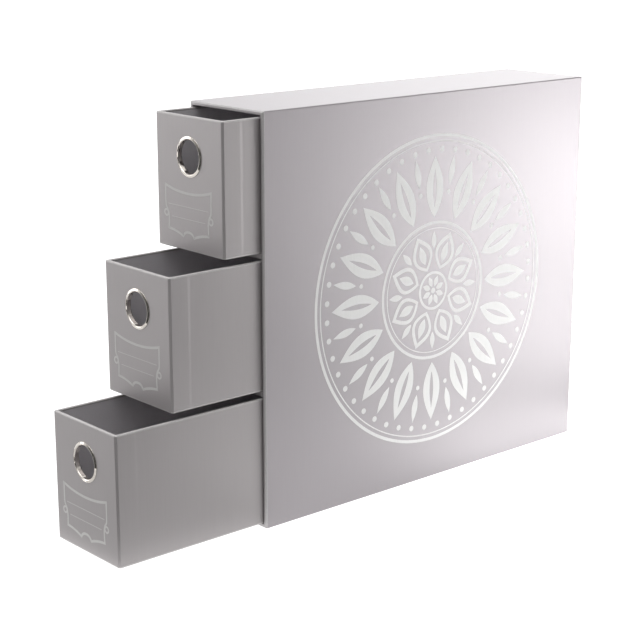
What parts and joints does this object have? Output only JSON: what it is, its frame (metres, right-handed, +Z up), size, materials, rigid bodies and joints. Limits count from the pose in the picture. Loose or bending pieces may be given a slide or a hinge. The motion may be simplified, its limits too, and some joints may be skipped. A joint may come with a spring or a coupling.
{
  "type": "card drawer box",
  "caption": "Upright slipcase of paper-wrapped board holding stacked open-topped card drawers, each sliding out at the front by a metal-rimmed finger hole.",
  "frame": {"origin": "centre of the case's underside, on the face it stands on", "axes": "+Z up, -Y out of the open front that the drawers are pulled towards, +X to the right seen from the front, through the printed side"},
  "size_m": [0.0842, 0.4724, 0.31],
  "materials": {
    "greyboard": "raw solid greyboard",
    "printed_paper": "pearl silver-lilac paper with fine upright brushed grain, ornament in glossier white",
    "drawer_paper": "pearl silver-grey paper with fine upright brushed grain",
    "lining_paper": "matt dark grey lining paper",
    "nickel": "polished nickel plate on steel"
  },
  "bodies": {
    "case": {"case_left_board": "greyboard", "case_right_board": "greyboard", "case_base_board": "greyboard", "case_top_board": "greyboard", "case_back_board": "greyboard", "upper_shelf_board": "greyboard", "lower_shelf_board": "greyboard", "upper_shelf_edging": "drawer_paper", "lower_shelf_edging": "drawer_paper", "case_wrap": "printed_paper", "case_base_sheet": "drawer_paper", "bay_lining_top": "lining_paper", "bay_lining_middle": "lining_paper", "bay_lining_bottom": "lining_paper"},
    "drawer_top": {"drawer_top_front_board": "greyboard", "drawer_top_back_board": "greyboard", "drawer_top_left_board": "greyboard", "drawer_top_right_board": "greyboard", "drawer_top_base_board": "greyboard", "drawer_top_wrap": "drawer_paper", "drawer_top_lining": "lining_paper", "drawer_top_eyelet": "nickel", "drawer_top_eyelet_washer": "nickel"},
    "drawer_middle": {"drawer_middle_front_board": "greyboard", "drawer_middle_back_board": "greyboard", "drawer_middle_left_board": "greyboard", "drawer_middle_right_board": "greyboard", "drawer_middle_base_board": "greyboard", "drawer_middle_wrap": "drawer_paper", "drawer_middle_lining": "lining_paper", "drawer_middle_eyelet": "nickel", "drawer_middle_eyelet_washer": "nickel"},
    "drawer_bottom": {"drawer_bottom_front_board": "greyboard", "drawer_bottom_back_board": "greyboard", "drawer_bottom_left_board": "greyboard", "drawer_bottom_right_board": "greyboard", "drawer_bottom_base_board": "greyboard", "drawer_bottom_wrap": "drawer_paper", "drawer_bottom_lining": "lining_paper", "drawer_bottom_eyelet": "nickel", "drawer_bottom_eyelet_washer": "nickel"}
  },
  "joints": [
    {"name": "top_drawer_slide", "type": "slide", "parent": "case", "child": "drawer_top", "axis": [0, -1, 0], "range_m": [-0.033, 0.3095]},
    {"name": "middle_drawer_slide", "type": "slide", "parent": "case", "child": "drawer_middle", "axis": [0, -1, 0], "range_m": [-0.0807, 0.2618]},
    {"name": "bottom_drawer_slide", "type": "slide", "parent": "case", "child": "drawer_bottom", "axis": [0, -1, 0], "range_m": [-0.1286, 0.2139]}
  ]
}
